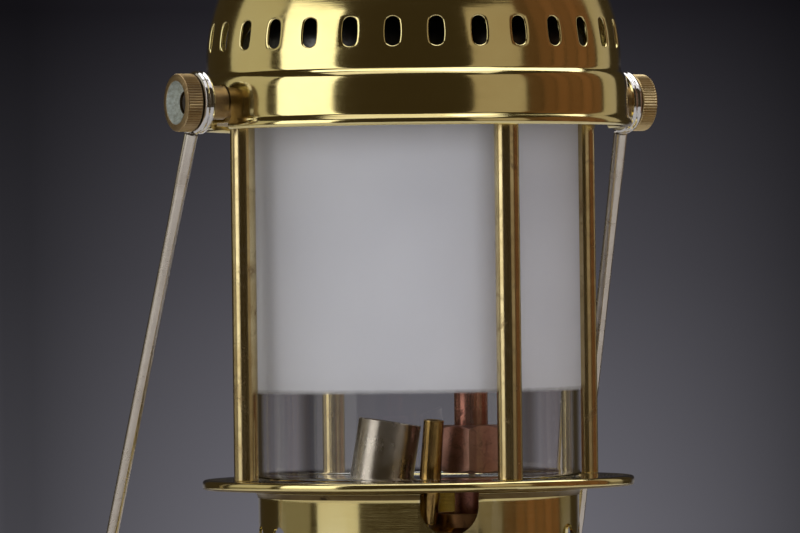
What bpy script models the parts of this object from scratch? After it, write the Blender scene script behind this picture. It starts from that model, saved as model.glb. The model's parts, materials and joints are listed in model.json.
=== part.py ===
"""Brass pressure lantern: tank, pump, frame, glass, hood, burner, valve gear and bail.

Lengths are written in millimetres and scaled to metres when meshes are made.
The lamp axis is +Z, the foot stands on z = 0, the valve wheel faces -Y and
the bail pivots lie on the X axis.
"""
import math

import bmesh
import bpy
from mathutils import Matrix, Vector

MM = 0.001
MERGE = 1e-5

# Main sizes, in millimetres.
TANK_R = 85.0
TANK_TOP = 97.6
COLLAR_R = 49.0
COLLAR_BOTTOM = 96.9
FLANGE_R = 66.0
FLANGE_BOTTOM = 148.0
FLANGE_TOP = 151.0
GLASS_R = 50.0
GLASS_WALL = 2.2
GLASS_TOP = 273.0
ROD_R = 3.75
ROD_CIRCLE = 58.7
RING_BOTTOM = 259.3
RING_TOP = 270.7
PIVOT_Z = 265.4
DOME_CENTRE_R = 4.4
DOME_CENTRE_Z = 277.0
DOME_ARC = 59.0
SHEET = 0.8
VENT_COUNT = 30
VENT_Z = 285.5
VENT_FIRST = 2.5
CHIMNEY_SLOTS = 16
BAIL_REST = 19.6
BAIL_SPLAY = 3.25
BAIL_PLANE = 73.7
BAIL_ARCH = 175.0
BAIL_KINK = 4.2
BAIL_CORNER = 35.0
BAIL_WIRE_R = 2.1
GENERATOR = (0.0, -34.0)
SPINDLE_Z = 118.0
NUT_CORNER = 27.5
PREHEATER = (-22.9, -23.7)
ARM_Z = 112.0
FLAME_MID_Z = 160.2
FLAME_LEAN = 9.3
FLAME_HEADING = 62.5
PUMP_HEADING = 40.0
PUMP_RISE = 15.0
PUMP_MOUTH_R = 86.0
PUMP_MOUTH_Z = 50.0
FILLER_HEADING = -35.0
FILLER_TILT = 30.0
FILLER_R = 68.0
FILLER_Z = 89.5

FINISHES = {
    "polished_brass": ((0.78, 0.62, 0.30, 1.0), 0.18, 1.0),
    "aged_brass": ((0.62, 0.46, 0.22, 1.0), 0.35, 1.0),
    "worn_nickel": ((0.60, 0.57, 0.53, 1.0), 0.30, 1.0),
    "bright_chrome": ((0.80, 0.81, 0.82, 1.0), 0.10, 1.0),
    "copper": ((0.60, 0.32, 0.24, 1.0), 0.35, 1.0),
    "sheet_steel": ((0.55, 0.55, 0.54, 1.0), 0.35, 1.0),
    "lamp_glass": ((0.90, 0.91, 0.92, 1.0), 0.20, 0.0),
    "gauge_glass": ((0.92, 0.94, 0.94, 1.0), 0.05, 0.0),
    "fired_clay": ((0.82, 0.79, 0.72, 1.0), 0.80, 0.0),
    "mantle_cloth": ((0.92, 0.91, 0.88, 1.0), 0.95, 0.0),
    "pump_leather": ((0.30, 0.19, 0.11, 1.0), 0.75, 0.0),
    "seal_rubber": ((0.06, 0.06, 0.06, 1.0), 0.70, 0.0),
    "dial_enamel": ((0.93, 0.92, 0.88, 1.0), 0.40, 0.0),
    "black_enamel": ((0.03, 0.03, 0.03, 1.0), 0.35, 0.0),
}

MATERIALS = {}
COLLECTIONS = {}


def clear_scene():
    """Start from nothing."""
    for obj in list(bpy.data.objects):
        bpy.data.objects.remove(obj, do_unlink=True)
    for name in ("lantern", "cutters"):
        group = bpy.data.collections.new(name)
        bpy.context.scene.collection.children.link(group)
        COLLECTIONS[name] = group


def finish(name):
    """Return the shared material of that name."""
    if name not in MATERIALS:
        colour, roughness, metallic = FINISHES[name]
        made = bpy.data.materials.new(name)
        made.use_nodes = True
        shader = made.node_tree.nodes["Principled BSDF"]
        shader.inputs["Base Color"].default_value = colour
        shader.inputs["Roughness"].default_value = roughness
        shader.inputs["Metallic"].default_value = metallic
        made.diffuse_color = colour
        MATERIALS[name] = made
    return MATERIALS[name]


def heading(degrees, radius=1.0, z=0.0):
    """Point at a heading counted from the front (-Y) towards +X."""
    angle = math.radians(degrees)
    return Vector((radius * math.sin(angle), -radius * math.cos(angle), z))


def pose(origin, axis=(0, 0, 1), turn=0.0):
    """Matrix that puts local Z on an axis through an origin given in mm."""
    aim = Vector(axis).normalized().to_track_quat("Z", "Y").to_matrix().to_4x4()
    spin = Matrix.Rotation(math.radians(turn), 4, "Z")
    return Matrix.Translation(Vector(origin) * MM) @ aim @ spin


def add_object(name, data, matrix, look=None):
    """Link an object; one with no look is a hidden tool for a Boolean."""
    obj = bpy.data.objects.new(name, data)
    if look is None:
        COLLECTIONS["cutters"].objects.link(obj)
        obj.hide_render = True
        obj.display_type = "WIRE"
    else:
        COLLECTIONS["lantern"].objects.link(obj)
        data.materials.append(finish(look))
    obj.matrix_world = matrix
    return obj


def lathe(name, look, profile, steps=40, origin=(0, 0, 0), axis=(0, 0, 1), turn=0.0):
    """Turn a profile of (radius, height) points about an axis.

    A profile whose ends lie on the axis makes a solid; any other is a ring.
    It runs down the outer side and back up the inner one.
    """
    mesh = bpy.data.meshes.new(name)
    points = [(r * MM, 0.0, z * MM) for r, z in profile]
    edges = [(i, i + 1) for i in range(len(points) - 1)]
    if profile[0][0] > 0.0:
        edges.append((len(points) - 1, 0))
    mesh.from_pydata(points, edges, [])
    obj = add_object(name, mesh, pose(origin, axis, turn), look)
    screw = obj.modifiers.new("turn", "SCREW")
    screw.axis = "Z"
    screw.angle = 2.0 * math.pi
    screw.steps = steps
    screw.render_steps = steps
    screw.use_merge_vertices = True
    screw.merge_threshold = MERGE
    screw.use_smooth_shade = steps > 8
    return obj


def cylinder(name, look, radius, low, high, steps=24, origin=(0, 0, 0), axis=(0, 0, 1)):
    """Plain round bar between two heights along its axis."""
    profile = [(0, high), (radius, high), (radius, low), (0, low)]
    return lathe(name, look, profile, steps, origin, axis)


def prisms(name, width, height, near, far, places, segments=12):
    """One tool mesh of obround bars, long way up, each along its own direction.

    places holds (origin, direction) pairs; a bar runs from near to far.
    """
    build = bmesh.new()
    for origin, direction in places:
        aim = Vector(direction).normalized()
        side = aim.cross(Vector((0, 0, 1))).normalized()
        upright = side.cross(aim).normalized()
        basis = Matrix((side, upright, aim)).transposed().to_4x4()
        place = Matrix.Translation(Vector(origin) * MM) @ basis
        start = math.pi / segments
        ring = bmesh.ops.create_circle(
            build, cap_ends=True, segments=segments, radius=width / 2 * MM,
            matrix=Matrix.Rotation(start, 4, "Z"))["verts"]
        for vert in ring:
            shift = math.copysign((height - width) / 2 * MM, vert.co.y)
            vert.co.y += shift
            vert.co.z = near * MM
        faces = list({face for vert in ring for face in vert.link_faces})
        grown = bmesh.ops.extrude_face_region(build, geom=faces)["geom"]
        outer = [item for item in grown if isinstance(item, bmesh.types.BMVert)]
        bmesh.ops.translate(build, verts=outer, vec=(0, 0, (far - near) * MM))
        bmesh.ops.transform(build, matrix=place, verts=ring + outer)
    bmesh.ops.recalc_face_normals(build, faces=build.faces)
    mesh = bpy.data.meshes.new(name)
    build.to_mesh(mesh)
    build.free()
    return add_object(name, mesh, Matrix.Identity(4))


def block(name, low, high):
    """Tool box between two corners."""
    build = bmesh.new()
    bmesh.ops.create_cube(build, size=1.0)
    size = Vector(high) - Vector(low)
    middle = (Vector(high) + Vector(low)) / 2
    bmesh.ops.scale(build, vec=size * MM, verts=build.verts)
    bmesh.ops.translate(build, vec=middle * MM, verts=build.verts)
    mesh = bpy.data.meshes.new(name)
    build.to_mesh(mesh)
    build.free()
    return add_object(name, mesh, Matrix.Identity(4))


def combine(obj, tool, operation="DIFFERENCE"):
    """Cut a tool from an object, or join it on."""
    step = obj.modifiers.new(tool.name, "BOOLEAN")
    step.operation = operation
    step.solver = "EXACT"
    step.object = tool
    return obj


def wire(name, points, radius, look=None, scales=None, facets=2):
    """Round wire through points, as a closed mesh."""
    curve = bpy.data.curves.new(name, "CURVE")
    curve.dimensions = "3D"
    curve.bevel_depth = radius * MM
    curve.bevel_resolution = facets
    curve.use_fill_caps = True
    spline = curve.splines.new("POLY")
    spline.points.add(len(points) - 1)
    for i, point in enumerate(points):
        spline.points[i].co = (point[0] * MM, point[1] * MM, point[2] * MM, 1.0)
        spline.points[i].radius = scales[i] if scales else 1.0
    draft = bpy.data.objects.new(name + "_path", curve)
    COLLECTIONS["cutters"].objects.link(draft)
    bpy.context.view_layer.update()
    graph = bpy.context.evaluated_depsgraph_get()
    mesh = bpy.data.meshes.new_from_object(draft.evaluated_get(graph))
    bpy.data.objects.remove(draft, do_unlink=True)
    build = bmesh.new()
    build.from_mesh(mesh)
    bmesh.ops.remove_doubles(build, verts=build.verts, dist=1e-6)
    bmesh.ops.recalc_face_normals(build, faces=build.faces)
    for face in build.faces:
        face.smooth = len(face.verts) == 4
    build.to_mesh(mesh)
    build.free()
    mesh.name = name
    mesh.materials.clear()
    return add_object(name, mesh, Matrix.Identity(4), look)


def pump_axis():
    """Mouth of the pump on the tank side, and its outward direction."""
    mouth = heading(PUMP_HEADING, PUMP_MOUTH_R, PUMP_MOUTH_Z)
    rise = math.radians(PUMP_RISE)
    outward = heading(PUMP_HEADING, math.cos(rise), math.sin(rise))
    return mouth, outward


def filler_axis():
    """Foot of the filler neck on the shoulder, and its outward direction."""
    tilt = math.radians(FILLER_TILT)
    foot = heading(FILLER_HEADING, FILLER_R, FILLER_Z)
    return foot, heading(FILLER_HEADING, math.sin(tilt), math.cos(tilt))


def build_tank():
    """Fuel tank: a thin shell with a foot ring and four fitting holes."""
    outside = [
        (0, TANK_TOP), (30, TANK_TOP), (44, 97.2), (52, 96.1), (60, 93.7), (67, 90.2),
        (73, 85.8), (78, 80.5), (81.8, 74.5), (84.2, 68), (TANK_R, 62), (TANK_R, 7),
        (86.4, 4.5), (86.5, 1), (85.8, 0), (81, 0), (80, 2), (0, 2)]
    inside = [
        (0, 96.6), (30, 96.6), (43.9, 96.2), (51.8, 95.1), (59.6, 92.7), (66.5, 89.2),
        (72.4, 84.9), (77.3, 79.8), (81, 74), (83.3, 67.8), (84.1, 62), (84.1, 7),
        (83, 4), (78, 3.1), (0, 3.1)]
    tank = lathe("tank_shell", "polished_brass", outside, 36)
    combine(tank, lathe("tank_hollow", None, inside, 36))
    bush = cylinder("bush_hole", None, 9.4, 88, 106, 16, (*GENERATOR, 0))
    combine(tank, bush)
    seat = cylinder("preheater_hole", None, 7.4, 88, 106, 14, (*PREHEATER, 0))
    combine(tank, seat)
    mouth, outward = pump_axis()
    combine(tank, cylinder("pump_hole", None, 10.5, -12, 12, 18, mouth, outward))
    foot, upward = filler_axis()
    combine(tank, cylinder("filler_hole", None, 12.5, -9, 12, 20, foot, upward))


def build_filler():
    """Filler neck, screw cap with its gauge, seal and air release screw."""
    foot, upward = filler_axis()
    neck = [(12, 8), (12, -4.5), (9.6, -4.5), (9.6, 8)]
    lathe("filler_neck", "aged_brass", neck, 20, foot, upward)
    cap = [
        (0, 12), (14, 12), (14, 16.9), (15.2, 17.2), (16.5, 16), (16.5, 5),
        (15.8, 4.4), (12.6, 4.4), (12.6, 10), (0, 10)]
    lathe("filler_cap", "polished_brass", cap, 26, foot, upward)
    seal = [(12.1, 9.7), (12.1, 8.3), (9.4, 8.3), (9.4, 9.7)]
    lathe("filler_seal", "seal_rubber", seal, 20, foot, upward)
    cylinder("gauge_dial", "dial_enamel", 13.6, 12.3, 12.9, 20, foot, upward)
    cylinder("gauge_lens", "gauge_glass", 13.6, 15.2, 16.4, 20, foot, upward)
    needle = cylinder("gauge_needle", "black_enamel", 1.5, 13.2, 14.5, 8, foot, upward)
    side = heading(FILLER_HEADING - 90)
    ahead = side.cross(upward).normalized()
    reach = (side * 0.75 - ahead * 0.66).normalized()
    start = Vector(foot) + upward * 13.8
    blade = wire("needle_blade", [start + reach * 0.4, start + reach * 11], 0.5, facets=1)
    combine(needle, blade, "UNION")
    screw = [(0, 21), (2.9, 21), (3.5, 20.4), (3.5, 17.4), (2.9, 16.9), (0, 16.9)]
    lathe("vent_screw", "aged_brass", screw, 12, Vector(foot) + upward * 8.5, side)


def build_pump():
    """Pressure pump: tube and cap on the tank, rod, knob and leather cup."""
    mouth, outward = pump_axis()
    place = {"origin": mouth, "axis": outward}
    tube = [(10, 6.6), (10, -110), (3, -110), (3, -108.6), (9.3, -108.6), (9.3, 6.6)]
    lathe("pump_tube", "aged_brass", tube, 18, **place)
    cap = [(11.8, 10), (13, 9), (13, 3.4), (10.4, 3.4), (10.4, 7.2), (3, 7.2), (3, 10)]
    lathe("pump_cap", "polished_brass", cap, 22, **place)
    cylinder("pump_rod", "worn_nickel", 2.3, -95, 11.6, 10, **place)
    knob = [
        (0, 26), (7, 25.5), (10, 23.5), (11, 20.5), (10, 17.5), (6.5, 15.5),
        (5, 13.5), (5, 11.9), (0, 11.9)]
    lathe("pump_knob", "polished_brass", knob, 18, **place)
    cylinder("piston_plate", "aged_brass", 6.5, -97, -95.3, 14, **place)
    cup = [
        (0, -97.3), (8.3, -97.3), (8.9, -98.2), (8.9, -104), (8.2, -104), (8, -99),
        (0, -99)]
    lathe("piston_cup", "pump_leather", cup, 16, **place)
    cylinder("piston_nut", "aged_brass", 3.8, -102, -99.3, 6, **place)
    housing = [
        (6.5, -110.3), (6.5, -121), (4, -124), (1.2, -124), (1.2, -122.5),
        (4.6, -119.5), (4.6, -110.3)]
    lathe("check_valve_housing", "aged_brass", housing, 14, **place)
    cylinder("check_valve_disc", "seal_rubber", 3.8, -112.6, -110.5, 12, **place)


def build_gallery():
    """Perforated collar, flange plate, guard rods, top ring and its pivots."""
    wall = [
        (COLLAR_R, 147.7), (COLLAR_R, COLLAR_BOTTOM), (48.2, COLLAR_BOTTOM), (48.2, 147.7)]
    collar = lathe("gallery_collar", "polished_brass", wall, 36)
    holes = [((0, 0, 130), heading(39 + 19.4 * i)) for i in range(13)]
    combine(collar, prisms("collar_holes", 9, 14, 44, 54, holes, 8))
    window = [((0, 0, 145.4), heading(-17))]
    combine(collar, prisms("collar_window", 18, 21.6, 40, 56, window, 12))
    combine(collar, cylinder("gland_hole", None, 8.2, 44, 54, 16, (0, 0, SPINDLE_Z), (0, -1, 0)))
    arm = (0, PREHEATER[1], ARM_Z)
    combine(collar, cylinder("arm_hole", None, 5.4, 38, 54, 12, arm, (-1, 0, 0)))
    plate = [
        (64.7, FLANGE_TOP), (65.6, 150.6), (FLANGE_R, 149.9), (FLANGE_R, 149.1),
        (65.6, 148.4), (64.7, FLANGE_BOTTOM), (46.5, FLANGE_BOTTOM), (46.5, FLANGE_TOP)]
    lathe("flange_plate", "polished_brass", plate, 40)
    for name, angle in (("front", 0), ("right", 90), ("back", 180), ("left", -90)):
        spot = heading(angle, ROD_CIRCLE)
        cylinder("guard_rod_" + name, "aged_brass", ROD_R, FLANGE_TOP + 0.2,
                 RING_BOTTOM - 0.2, 14, spot)
    ring = [
        (63, RING_TOP), (63, RING_BOTTOM), (54.5, RING_BOTTOM), (54.5, 260.3),
        (62.2, 260.3), (62.2, RING_TOP)]
    lathe("top_ring", "aged_brass", ring, 36)
    pin = [
        (0, 77.4), (3, 77.4), (3, 75.4), (4.5, 75.4), (4.5, 71.6), (5.1, 71.6),
        (5.1, 65.2), (4.5, 65.2), (4.5, 63.3), (0, 63.3)]
    for name, side in (("left", -1), ("right", 1)):
        lathe("pivot_pin_" + name, "aged_brass", pin, 14, (0, 0, PIVOT_Z), (side, 0, 0))


def build_glass():
    """Straight glass chimney that stands on the flange."""
    inner = GLASS_R - GLASS_WALL
    wall = [(GLASS_R, GLASS_TOP), (GLASS_R, FLANGE_TOP + 0.3), (inner, FLANGE_TOP + 0.3),
            (inner, GLASS_TOP)]
    lathe("glass_globe", "lamp_glass", wall, 40)


def dome(height, arc):
    """Radius of the hood dome at a height."""
    rise = height - DOME_CENTRE_Z
    return DOME_CENTRE_R + math.sqrt(arc * arc - rise * rise)


def build_hood():
    """Vented hood, its chimney and its rain cap."""
    heights = (322.5, 316, 307, 296, 285)
    outer = [(38.5, 332), (38.5, 325.2)]
    outer += [(dome(z, DOME_ARC), z) for z in heights]
    outer += [
        (63.4, 274.4), (64.5, 273.1), (65.1, 271.4), (65.4, 267.5), (65.4, 261.1),
        (66.2, 259.8), (66.6, 258.7), (66.4, 257.8), (65.7, 257.35)]
    inner = [(65, 257.6), (64.6, 258.8), (64.6, 269.6), (63.9, 270.95), (62.6, 271.4)]
    inner += [(62.6, 274.4)]
    inner += [(dome(z, DOME_ARC - SHEET), z) for z in reversed(heights[1:])]
    inner += [(dome(322, DOME_ARC - SHEET), 322), (37.7, 324.3), (37.7, 332)]
    hood = lathe("hood_shell", "polished_brass", outer + inner, 40)
    step = 360 / VENT_COUNT
    vents = [((0, 0, VENT_Z), heading(VENT_FIRST + step * i)) for i in range(VENT_COUNT)]
    combine(hood, prisms("hood_vents", 4.8, 8.9, 56, 70, vents, 8))
    notches = [((0, 0, PIVOT_Z - 4.9), (side, 0, 0)) for side in (-1, 1)]
    combine(hood, prisms("pivot_notches", 11.2, 21, 58, 72, notches))
    tube = [
        (39.8, 376), (39.8, 329.5), (41.2, 328.5), (41.2, 326.8), (39.8, 325.9),
        (39.8, 325.3), (39, 325.3), (39, 376)]
    chimney = lathe("hood_chimney", "polished_brass", tube, 32)
    turn = 360 / CHIMNEY_SLOTS
    slots = [((0, 0, 346), heading(turn * i)) for i in range(CHIMNEY_SLOTS)]
    combine(chimney, prisms("chimney_slots", 6, 14, 34, 46, slots, 8))
    cap = [
        (0, 392), (14, 391), (27, 387.2), (38, 380.5), (45, 372), (48.2, 365.5),
        (49.6, 363.6), (49.4, 361.6), (47.9, 361), (46.8, 362), (47.2, 365.2),
        (44.2, 371.4), (37.5, 379.6), (26.6, 386.3), (13.8, 390.1), (0, 391.1)]
    lathe("hood_cap", "polished_brass", cap, 32)


def bail_point(across, along):
    """Point of the bail, given sideways and down from the pivots at rest."""
    lean = math.radians(BAIL_REST)
    return Vector((across, along * math.sin(lean), PIVOT_Z - along * math.cos(lean)))


def build_bail():
    """Carrying bail: bent wire, two eyes and two knurled nuts."""
    splay = math.radians(BAIL_SPLAY)
    bend = BAIL_ARCH - BAIL_CORNER
    centre = BAIL_PLANE + bend * math.tan(splay) - BAIL_CORNER / math.cos(splay)
    half = [(BAIL_PLANE + 9.9 * math.tan(splay), 9.9), (BAIL_PLANE + 30 * math.tan(splay), 30)]
    for i in range(9):
        angle = -splay + (math.pi / 2 + splay) * i / 8
        half.append((centre + BAIL_CORNER * math.cos(angle),
                     bend + BAIL_CORNER * math.sin(angle)))
    half += [(14, BAIL_ARCH), (9, BAIL_ARCH + 0.8), (5, BAIL_ARCH + 3.2)]
    path = half + [(0, BAIL_ARCH + BAIL_KINK)] + [(-x, y) for x, y in reversed(half)]
    scales = [1.0 if y < 20 else 0.9 for x, y in path]
    wire("bail_wire", [bail_point(x, y) for x, y in path], BAIL_WIRE_R, "worn_nickel", scales)
    eye = [(9, 75.3), (9.5, 74.7), (9.5, 72.5), (9, 71.9), (4.9, 71.9), (4.9, 75.3)]
    nut = [
        (8.2, 81), (8.75, 80.5), (8.75, 76.1), (8.2, 75.6), (3.4, 75.6), (3.4, 79.2),
        (6.4, 80.5), (6.4, 81)]
    for name, side in (("left", -1), ("right", 1)):
        place = {"origin": (0, 0, PIVOT_Z), "axis": (side, 0, 0)}
        lathe("bail_eye_" + name, "bright_chrome", eye, 18, **place)
        lathe("bail_nut_" + name, "aged_brass", nut, 24, **place)


def build_burner():
    """Inner casing, mixing tube and chamber, nozzle and mantle."""
    casing = [
        (38, 320), (38, 303), (41, 300.5), (49.5, 289), (52.4, 283), (52.4, 262.4),
        (61.4, 261.6), (61.4, 260.7), (51.6, 260.7), (51.6, 282.6), (48.9, 288.4),
        (40.4, 299.8), (37.2, 302.4), (37.2, 320)]
    lathe("inner_casing", "sheet_steel", casing, 26)
    x, y = GENERATOR
    half = -y / 2
    bend = []
    for i in range(9):
        angle = math.pi * i / 8
        bend.append((x, -half - half * math.cos(angle), 268 + half * math.sin(angle)))
    path = [(x, y, 252.5)] + bend + [(x, 0, 260.8)]
    tube = wire("mixing_tube", path, 6.0, "sheet_steel")
    longer = [(x, y, 250)] + bend + [(x, 0, 258)]
    combine(tube, wire("mixing_bore", longer, 5.2))
    chamber = [
        (7.5, 262), (15, 260), (16, 256), (16, 240), (12, 230), (12, 227), (11.2, 227),
        (11.2, 230.4), (15.2, 240.4), (15.2, 255.6), (14.4, 259.2), (6.7, 261.2), (6.7, 262)]
    lathe("mixing_chamber", "aged_brass", chamber, 16)
    nozzle = [
        (10.8, 231), (10.8, 226), (13, 226), (13, 222.5), (11.5, 222), (11.5, 218.5),
        (12.5, 218), (12.5, 214), (8, 214), (8, 231)]
    lathe("ceramic_nozzle", "fired_clay", nozzle, 16)
    lining = [
        (0, 181.4), (5.4, 181.7), (11.4, 183.6), (16, 187.9), (18.6, 193.6), (19, 199.5),
        (17.6, 206.5), (15.1, 212.6), (13.2, 217.2), (12.5, 219.4), (12.5, 222)]
    outside = [
        (13.1, 222), (13.1, 219.6), (13.9, 217.4), (15.8, 212.9), (18.2, 206.7),
        (19.6, 199.5), (19.2, 193.4), (16.4, 187.4), (11.7, 183), (5.5, 181.1), (0, 180.8)]
    lathe("mantle", "mantle_cloth", lining + outside, 14)


def build_generator():
    """Tank bush, valve block, nut, generator tube, jet, cup and riser."""
    spot = (*GENERATOR, 0)
    bush = [(13.5, 101), (13.5, 97.9), (9, 97.9), (9, 90), (6.2, 90), (6.2, 101)]
    lathe("neck_bush", "aged_brass", bush, 18, spot)
    body = [
        (6.45, 152), (6.45, 149.5), (5, 148.5), (5, 133), (9, 129), (9, 104),
        (10.5, 103.5), (10.5, 101.3), (5.9, 101.3), (5.9, 91), (3, 91), (3, 109),
        (6.2, 110), (6.2, 126), (3.5, 128.5), (3.5, 152)]
    valve = lathe("valve_block", "aged_brass", body, 14, spot)
    bore = cylinder("spindle_bore", None, 3.0, 34, 46, 10, (0, 0, SPINDLE_Z), (0, -1, 0))
    combine(valve, bore)
    hexagon = [(0, 167.4), (8.7, 167.4), (9.9, 166.5), (9.9, 153.8), (9.1, 153), (0, 153)]
    nut = lathe("generator_nut", "copper", hexagon, 6, spot, (0, 0, 1), NUT_CORNER - 90)
    combine(nut, cylinder("nut_bore", None, 5.5, 150, 170, 16, spot))
    lathe("generator_tube", "copper", [(5, 238), (5, 152.9), (3.6, 152.9), (3.6, 238)], 16, spot)
    tip = [
        (2.2, 250), (3.2, 246.5), (3.2, 243.6), (5.6, 243.6), (5.6, 238.3), (1.5, 238.3),
        (1.5, 250)]
    lathe("jet", "aged_brass", tip, 12, spot)
    cup = [
        (13, 141), (13, 136.5), (11.5, 135), (5.5, 135), (5.5, 139.5), (6.1, 139.5),
        (6.1, 135.7), (11.2, 135.7), (12.4, 136.8), (12.4, 141)]
    lathe("spirit_cup", "aged_brass", cup, 18, spot)
    base = Vector((-16.2, -35.9, 138))
    lean = Vector((-15.3, -39.1, 169.3)) - base
    spout = [
        (3, 31.4), (3.25, 13), (3, 0), (2.3, 0), (2.2, 31.4)]
    lathe("spirit_spout", "aged_brass", spout, 12, base, lean)
    lathe("fuel_riser", "copper", [(2.7, 92), (2.7, 8), (1.9, 8), (1.9, 92)], 10, spot)


def build_valve_gear():
    """Wheel, spindle with its eccentric, gland and the jet needle."""
    centre = (0, 0, SPINDLE_Z)
    front = (0, -1, 0)
    shaft = [(0, 91.8), (2.4, 91.8), (2.4, 38.4), (3.2, 38.4), (3.2, 36.4), (0, 36.4)]
    spindle = lathe("valve_spindle", "worn_nickel", shaft, 10, centre, front)
    crank = cylinder("crank_pin", None, 1.4, 32.6, 36.9, 8, (0, 0, SPINDLE_Z - 1.5), front)
    combine(spindle, crank, "UNION")
    nut = lathe("gland_nut", "aged_brass", [(0, 51.5), (6.2, 51.5), (6.9, 50.8), (6.9, 43.3),
                (0, 43.3)], 6, centre, front)
    combine(nut, cylinder("gland_bore", None, 3.0, 40, 54, 10, centre, front))
    rim = [
        (16.2, 91), (17, 90.2), (17, 85.8), (16.2, 85), (13.8, 85), (13.5, 87), (5.2, 87),
        (5.2, 84.5), (2.7, 84.5), (2.7, 92), (5.2, 92), (5.2, 89), (13.5, 89), (13.8, 91)]
    wheel = lathe("valve_wheel", "black_enamel", rim, 20, centre, front)
    holes = []
    for i in range(5):
        angle = math.radians(72 * i + 90)
        spot = (9.4 * math.cos(angle), 0, SPINDLE_Z + 9.4 * math.sin(angle))
        holes.append((spot, front))
    combine(wheel, prisms("wheel_holes", 6, 6.02, 80, 96, holes, 8))
    head = lathe("wheel_screw", "worn_nickel", [(0, 94.9), (3, 94.9), (4, 94.2), (4, 92.3),
                 (0, 92.3)], 14, centre, front)
    combine(head, block("screw_slot", (-5, -96, SPINDLE_Z - 0.5), (5, -93.9, SPINDLE_Z + 0.5)))
    place = {"origin": (0, GENERATOR[1], SPINDLE_Z), "axis": front}
    hoop = [(5.6, 0.8), (5.6, -0.8), (4.2, -0.8), (4.2, 0.8)]
    needle = lathe("needle_rod", "worn_nickel", hoop, 14, **place)
    rod = cylinder("needle_shank", None, 1.0, 122.9, 246, 8, (*GENERATOR, 0))
    combine(needle, rod, "UNION")


def build_preheater():
    """Blow-torch preheater: body, nozzle, flame tube, dip tube and lever."""
    spot = (*PREHEATER, 0)
    side = (-1, 0, 0)
    arm_line = (0, PREHEATER[1], ARM_Z)
    casting = [
        (4, 126), (4, 124), (7.5, 121), (7.5, 104), (10, 103.4), (10, 98.3), (6.8, 98.3),
        (6.8, 90), (1.6, 90), (1.6, 126)]
    body = lathe("preheater_body", "aged_brass", casting, 14, spot)
    combine(body, cylinder("arm_bar", None, 4.5, 25.5, 52.7, 12, arm_line, side), "UNION")
    combine(body, cylinder("arm_bore", None, 2.6, 31, 56, 8, arm_line, side))
    stem = [
        (2.2, 156), (3, 155.2), (3, 151.2), (6, 151.2), (6, 150), (3, 150),
        (3, 126.3), (1.6, 126.3), (1.6, 156)]
    lathe("preheater_nozzle", "aged_brass", stem, 12, spot)
    lathe("preheater_dip_tube", "copper", [(2.4, 89.7), (2.4, 10), (1.6, 10), (1.6, 89.7)],
          8, spot)
    tilt = math.radians(FLAME_LEAN)
    aim = heading(FLAME_HEADING, math.sin(tilt), math.cos(tilt))
    tube = [(9.35, 8.6), (9.35, -18), (8.6, -18), (8.6, 8.6)]
    foot = (PREHEATER[0] - 0.4, PREHEATER[1] + 0.2, FLAME_MID_Z)
    lathe("flame_tube", "worn_nickel", tube, 24, foot, aim)
    lever = cylinder("preheater_lever", "aged_brass", 6, 53.2, 55.2, 14, arm_line, side)
    blade = [((0, PREHEATER[1], ARM_Z + 8.8), side)]
    combine(lever, prisms("lever_blade", 6.4, 24, 53.3, 55.1, blade), "UNION")
    cylinder("preheater_pin", "worn_nickel", 2.0, 32.5, 50.5, 8, arm_line, side)


def main():
    """Build the whole lantern."""
    clear_scene()
    build_tank()
    build_filler()
    build_pump()
    build_gallery()
    build_glass()
    build_hood()
    build_bail()
    build_burner()
    build_generator()
    build_valve_gear()
    build_preheater()


main()
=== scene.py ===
"""Looks of the brass pressure lantern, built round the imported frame.

Lengths in the profiles are millimetres; meshes are made in metres.
Headings are degrees counted from the front (-Y) towards +X.
"""
import json
import math

import bmesh
import bpy
from mathutils import Matrix, Vector


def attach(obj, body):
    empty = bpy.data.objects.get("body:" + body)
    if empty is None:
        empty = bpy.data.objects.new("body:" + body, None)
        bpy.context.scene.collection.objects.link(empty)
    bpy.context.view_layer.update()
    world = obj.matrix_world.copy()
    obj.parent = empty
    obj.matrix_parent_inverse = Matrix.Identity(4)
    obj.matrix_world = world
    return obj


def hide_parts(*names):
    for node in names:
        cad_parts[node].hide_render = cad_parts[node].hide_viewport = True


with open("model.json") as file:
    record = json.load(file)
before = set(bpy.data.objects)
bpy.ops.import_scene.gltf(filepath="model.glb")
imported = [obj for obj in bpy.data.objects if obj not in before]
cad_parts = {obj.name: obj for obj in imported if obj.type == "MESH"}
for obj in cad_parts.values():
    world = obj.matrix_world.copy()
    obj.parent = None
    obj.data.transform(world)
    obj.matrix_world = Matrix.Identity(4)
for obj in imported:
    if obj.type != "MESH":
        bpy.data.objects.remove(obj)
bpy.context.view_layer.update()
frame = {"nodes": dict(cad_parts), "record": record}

MM = 0.001
UP = Vector((0, 0, 1))
FRONT = Vector((0, -1, 0))

# Places shared with the frame, in millimetres.
PIVOT_Z = 265.4
SPINDLE_Z = 118.0
GENERATOR = Vector((0, -34, 0))
PREHEATER = Vector((-22.9, -23.7, 0))
DOME_R = 4.4
DOME_Z = 277.0
DOME_ARC = 59.0
SHEET = 0.8
VENTS = 30
VENT_Z = 285.5
VENT_R = 62.9
VENT_FIRST = 2.5
BAIL_REST = 19.6
BAIL_PLANE = 73.7
BAIL_SPLAY = 3.25
BAIL_BEND = 140.0
BAIL_CORNER = 35.0
WIRE_R = 2.1

# Height in metres over which the glass turns from clear to frosted.
FROST_LINE = (0.1773, 0.1789)

# Camera: heading and angles in degrees, distance and height in metres.
CAMERA_HEADING = -27.9
CAMERA_DISTANCE = 2.3
CAMERA_HEIGHT = 0.2117
LENS = 338.85
YAW_LEFT = 0.121
PITCH_UP = 0.093
ROLL = -0.7


def heading(degrees, radius=1.0, z=0.0):
    """Point at a heading round the lamp axis."""
    angle = math.radians(degrees)
    return Vector((radius * math.sin(angle), -radius * math.cos(angle), z))


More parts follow.
